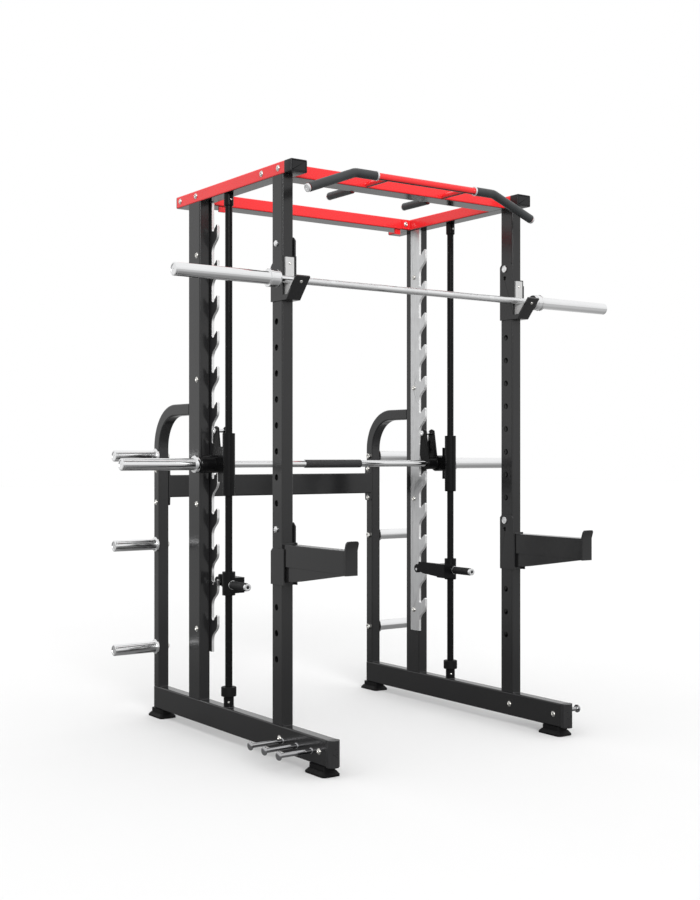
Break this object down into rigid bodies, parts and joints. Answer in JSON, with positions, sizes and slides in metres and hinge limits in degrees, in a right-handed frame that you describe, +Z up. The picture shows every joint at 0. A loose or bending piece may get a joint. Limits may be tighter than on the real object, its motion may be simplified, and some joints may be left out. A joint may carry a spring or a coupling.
{
  "type": "smith machine",
  "caption": "Free-standing power rack with a guided, hooked Smith bar on two rods, toothed catch plates, J-cups with a free barbell, spotter arms, pull-up grips and storage pegs.",
  "frame": {"origin": "on the floor, in the middle of the machine's whole width and depth", "axes": "+Z up; X along the bars, +X to the right seen from the open front; -Y to the open front where the barbell and spotter arms are, +Y to the plate storage at the back"},
  "size_m": [2.2, 1.547, 2.3],
  "materials": {
    "frame_black": "semi-gloss powder coat",
    "frame_red": "gloss powder coat",
    "chrome": "polished hard chrome",
    "black_steel": "black oxide and satin paint",
    "plate_silver": "satin zinc plate",
    "bolt_steel": "zinc plate",
    "bearing_steel": "ground steel",
    "bronze": "sintered bronze",
    "cap_black": "fine moulded grain",
    "grip_rubber": "matt rubber",
    "foot_rubber": "matt rubber",
    "liner_white": "smooth moulded nylon"
  },
  "bodies": {
    "frame": {"band_pegs": "chrome", "beam_end_caps": "cap_black", "frame_bolts": "bolt_steel", "front_top_beam": "frame_red", "j_cup_liners": "liner_white", "j_cup_pins": "chrome", "left_base_rail": "frame_black", "left_catch_plate": "plate_silver", "left_front_upright": "frame_black", "left_guide_rod": "black_steel", "left_j_cup": "frame_black", "left_pull_up_grip": "grip_rubber", "left_rear_upright": "frame_black", "left_storage_post": "frame_black", "left_top_beam": "frame_red", "neutral_grips": "grip_rubber", "pull_up_bar": "frame_red", "pull_up_chrome_trim": "chrome", "rail_end_caps": "cap_black", "rear_crossmember": "frame_black", "rear_top_beam": "frame_red", "right_base_rail": "frame_black", "right_catch_plate": "plate_silver", "right_front_upright": "frame_black", "right_guide_rod": "black_steel", "right_j_cup": "frame_black", "right_pull_up_grip": "grip_rubber", "right_rear_upright": "frame_black", "right_storage_post": "frame_black", "right_top_beam": "frame_red", "rod_bumpers": "foot_rubber", "rod_sockets": "black_steel", "rod_top_collars": "black_steel", "rubber_feet": "foot_rubber", "storage_pegs": "chrome"},
    "smith_carriage": {"left_carriage": "black_steel", "right_carriage": "black_steel", "linear_bearings": "bearing_steel", "hub_bearings": "bearing_steel"},
    "smith_bar": {"smith_bar_shaft": "chrome", "smith_grip": "grip_rubber", "left_smith_sleeve": "chrome", "right_smith_sleeve": "chrome", "left_hook": "black_steel", "right_hook": "black_steel", "hook_pins": "chrome"},
    "barbell": {"barbell_shaft": "chrome", "barbell_bushings": "bronze"},
    "left_barbell_sleeve": {"left_barbell_sleeve": "chrome"},
    "right_barbell_sleeve": {"right_barbell_sleeve": "chrome"},
    "left_spotter_arm": {"left_spotter_arm": "frame_black", "left_spotter_pin": "chrome"},
    "right_spotter_arm": {"right_spotter_arm": "frame_black", "right_spotter_pin": "chrome"},
    "left_stop": {"left_stop_arm": "black_steel", "left_stop_pins": "chrome", "left_stop_grip": "grip_rubber"},
    "right_stop": {"right_stop_arm": "black_steel", "right_stop_pins": "chrome", "right_stop_grip": "grip_rubber"}
  },
  "joints": [
    {"name": "smith_slide", "type": "slide", "parent": "frame", "child": "smith_carriage", "axis": [0, 0, 1], "range_m": [-0.3, 0.9]},
    {"name": "smith_turn", "type": "hinge", "parent": "smith_carriage", "child": "smith_bar", "pos_m": [0, 0.2145, 1.136], "axis": [-1, 0, 0], "range_deg": [-25, 20.6]},
    {"name": "barbell_lift", "type": "slide", "parent": "frame", "child": "barbell", "axis": [0, 0, 1], "range_m": [0, 0.2]},
    {"name": "left_barbell_sleeve_spin", "type": "hinge", "parent": "barbell", "child": "left_barbell_sleeve", "pos_m": [-0.9, -0.3715, 1.842], "axis": [1, 0, 0], "continuous": true},
    {"name": "left_spotter_arm_swing", "type": "hinge", "parent": "frame", "child": "left_spotter_arm", "pos_m": [-0.5925, -0.2985, 0.888], "axis": [-1, 0, 0], "range_deg": [0, 85]},
    {"name": "left_stop_swing", "type": "hinge", "parent": "frame", "child": "left_stop", "pos_m": [-0.5925, 0.1105, 0.6455], "axis": [0, 0, -1], "range_deg": [0, 90]},
    {"name": "right_barbell_sleeve_spin", "type": "hinge", "parent": "barbell", "child": "right_barbell_sleeve", "pos_m": [0.9, -0.3715, 1.842], "axis": [1, 0, 0], "continuous": true},
    {"name": "right_spotter_arm_swing", "type": "hinge", "parent": "frame", "child": "right_spotter_arm", "pos_m": [0.5925, -0.2985, 0.888], "axis": [-1, 0, 0], "range_deg": [0, 85]},
    {"name": "right_stop_swing", "type": "hinge", "parent": "frame", "child": "right_stop", "pos_m": [0.5925, 0.1105, 0.6455], "axis": [0, 0, 1], "range_deg": [0, 90]}
  ]
}
